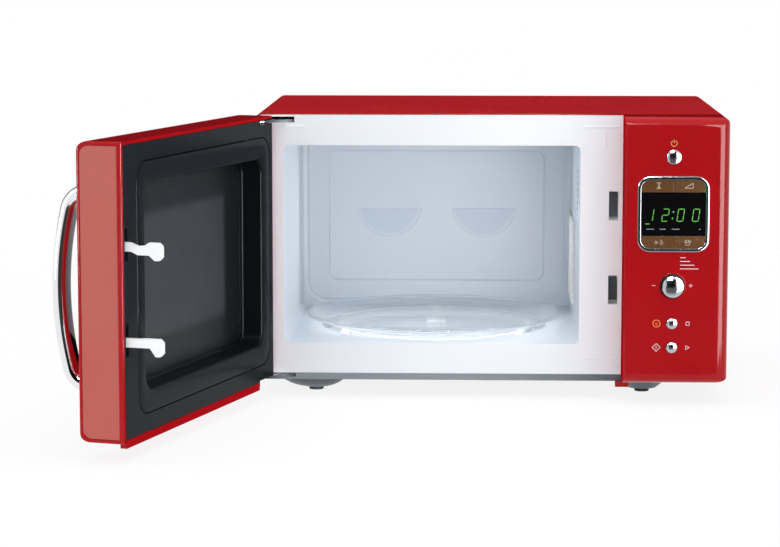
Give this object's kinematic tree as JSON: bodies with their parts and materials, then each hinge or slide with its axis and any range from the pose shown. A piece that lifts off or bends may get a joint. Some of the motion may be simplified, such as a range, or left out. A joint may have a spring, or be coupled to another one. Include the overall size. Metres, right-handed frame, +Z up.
{
  "type": "microwave oven",
  "caption": "Compact countertop microwave oven with a side-hinged door, glass turntable, dial and push-button control panel, and full internal structure.",
  "frame": {"origin": "on the table plane, at the centre of the whole footprint with the door open as at rest", "axes": "+Z up, +Y from the door side towards the oven's back, +X towards the control panel"},
  "size_m": [0.5916, 0.6377, 0.27],
  "materials": {
    "red_paint": "gloss paint on steel sheet",
    "red_plastic": "glossy moulded plastic",
    "grey_steel": "grey coated steel sheet",
    "zinc_steel": "zinc plated steel",
    "white_enamel": "white baked paint",
    "cavity_enamel": "pale grey-blue enamel",
    "foot_rubber": "moulded rubber",
    "black_plastic": "satin black moulded plastic",
    "white_plastic": "white moulded plastic",
    "mica": "pressed mica sheet",
    "core_steel": "varnished steel laminations",
    "winding_copper": "enamelled copper wire",
    "aluminium_can": "drawn aluminium can",
    "board_laminate": "glass fibre board with parts",
    "chrome_trim": "polished chrome plating",
    "dark_window": "dark glossy window",
    "smoked_film": "smoked sheet with a black border",
    "brown_key": "brown tinted key cap",
    "pale_red_label": "matt pale red sheet",
    "black_enamel": "satin black enamel on steel",
    "clear_glass": "clear pressed glass"
  },
  "bodies": {
    "cabinet": {"outer_cover": "red_paint", "base_plate": "grey_steel", "back_plate": "zinc_steel", "front_frame": "white_enamel", "cavity_liner": "cavity_enamel", "rubber_feet": "foot_rubber", "case_screws": "zinc_steel", "cable_inlet": "black_plastic", "waveguide": "zinc_steel", "waveguide_cover": "mica", "magnetron": "zinc_steel", "transformer_core": "core_steel", "transformer_windings": "winding_copper", "capacitor": "aluminium_can", "capacitor_clamp": "zinc_steel", "diode": "black_plastic", "fan_shroud": "white_plastic", "fan_motor": "core_steel", "lamp_bulb": "clear_glass", "lamp_holder": "white_plastic", "thermal_cutout": "black_plastic", "noise_filter": "board_laminate", "turntable_motor": "zinc_steel", "latch_board": "white_plastic", "door_switches": "black_plastic", "upper_hinge": "zinc_steel", "lower_hinge": "zinc_steel", "control_panel": "red_plastic", "display_bezel": "chrome_trim", "display_window": "dark_window", "control_board": "board_laminate", "dial_cup": "black_plastic"},
    "door": {"door_shell": "red_plastic", "edge_panel": "pale_red_label", "door_frame": "black_enamel", "choke_cover": "black_plastic", "window_film": "smoked_film", "screen_panel": "black_enamel", "front_glass": "dark_window", "handle": "chrome_trim", "door_screws": "zinc_steel", "latch_spring": "zinc_steel"},
    "door_latch": {"latch": "white_plastic"},
    "dial": {"dial_knob": "chrome_trim", "encoder_shaft": "zinc_steel"},
    "on_key": {"on_button": "chrome_trim"},
    "stop_key": {"stop_button": "chrome_trim"},
    "start_key": {"start_button": "chrome_trim"},
    "clock_cap": {"clock_key": "brown_key"},
    "power_cap": {"power_key": "brown_key"},
    "defrost_cap": {"defrost_key": "brown_key"},
    "auto_cap": {"auto_key": "brown_key"},
    "fan": {"fan_rotor": "core_steel", "fan_blade": "white_plastic"},
    "turntable": {"drive_coupler": "white_plastic", "glass_tray": "clear_glass"},
    "ring": {"roller_ring": "white_plastic"},
    "wheel_1": {"roller_1": "white_plastic"},
    "wheel_2": {"roller_2": "white_plastic"},
    "wheel_3": {"roller_3": "white_plastic"}
  },
  "joints": [
    {"name": "door_hinge", "type": "hinge", "parent": "cabinet", "child": "door", "pos_m": [-0.1451, 0.0141, 0.1428], "axis": [0, 0, 1], "range_deg": [0, 106.5]},
    {"name": "latch_lift", "type": "slide", "parent": "door", "child": "door_latch", "axis": [0, 0, 1], "range_m": [0, 0.007], "stiffness_N_per_m": 150, "springref_m": -0.004, "deforming": ["latch_spring"]},
    {"name": "on_press", "type": "slide", "parent": "cabinet", "child": "on_key", "axis": [0, 1, 0], "range_m": [0, 0.0012], "stiffness_N_per_m": 800, "springref_m": -0.0004},
    {"name": "stop_press", "type": "slide", "parent": "cabinet", "child": "stop_key", "axis": [0, 1, 0], "range_m": [0, 0.0012], "stiffness_N_per_m": 800, "springref_m": -0.0004},
    {"name": "start_press", "type": "slide", "parent": "cabinet", "child": "start_key", "axis": [0, 1, 0], "range_m": [0, 0.0012], "stiffness_N_per_m": 800, "springref_m": -0.0004},
    {"name": "clock_press", "type": "slide", "parent": "cabinet", "child": "clock_cap", "axis": [0, 1, 0], "range_m": [0, 0.0012], "stiffness_N_per_m": 800, "springref_m": -0.0004},
    {"name": "power_press", "type": "slide", "parent": "cabinet", "child": "power_cap", "axis": [0, 1, 0], "range_m": [0, 0.0012], "stiffness_N_per_m": 800, "springref_m": -0.0004},
    {"name": "defrost_press", "type": "slide", "parent": "cabinet", "child": "defrost_cap", "axis": [0, 1, 0], "range_m": [0, 0.0012], "stiffness_N_per_m": 800, "springref_m": -0.0004},
    {"name": "auto_press", "type": "slide", "parent": "cabinet", "child": "auto_cap", "axis": [0, 1, 0], "range_m": [0, 0.0012], "stiffness_N_per_m": 800, "springref_m": -0.0004},
    {"name": "dial_turn", "type": "hinge", "parent": "cabinet", "child": "dial", "pos_m": [0.242, -0.0159, 0.1125], "axis": [0, 1, 0], "continuous": true},
    {"name": "fan_spin", "type": "hinge", "parent": "cabinet", "child": "fan", "pos_m": [0.2314, 0.2961, 0.19], "axis": [0, 1, 0], "continuous": true},
    {"name": "turntable_spin", "type": "hinge", "parent": "cabinet", "child": "turntable", "pos_m": [0.0166, 0.1606, 0.053], "axis": [0, 0, 1], "continuous": true},
    {"name": "ring_roll", "type": "hinge", "parent": "cabinet", "child": "ring", "pos_m": [0.0166, 0.1606, 0.047], "axis": [0, 0, 1], "continuous": true},
    {"name": "wheel_1_spin", "type": "hinge", "parent": "ring", "child": "wheel_1", "pos_m": [0.0166, 0.2614, 0.047], "axis": [0, 1, 0], "continuous": true},
    {"name": "wheel_2_spin", "type": "hinge", "parent": "ring", "child": "wheel_2", "pos_m": [-0.07069, 0.1102, 0.047], "axis": [-0.866, -0.5, 0], "continuous": true},
    {"name": "wheel_3_spin", "type": "hinge", "parent": "ring", "child": "wheel_3", "pos_m": [0.1039, 0.1102, 0.047], "axis": [0.866, -0.5, 0], "continuous": true}
  ],
  "couplings": [
    {"joint": "ring_roll", "follows": "turntable_spin", "ratio": 0.5},
    {"joint": "wheel_1_spin", "follows": "turntable_spin", "ratio": -8.5424},
    {"joint": "wheel_2_spin", "follows": "turntable_spin", "ratio": -8.5424},
    {"joint": "wheel_3_spin", "follows": "turntable_spin", "ratio": -8.5424}
  ]
}
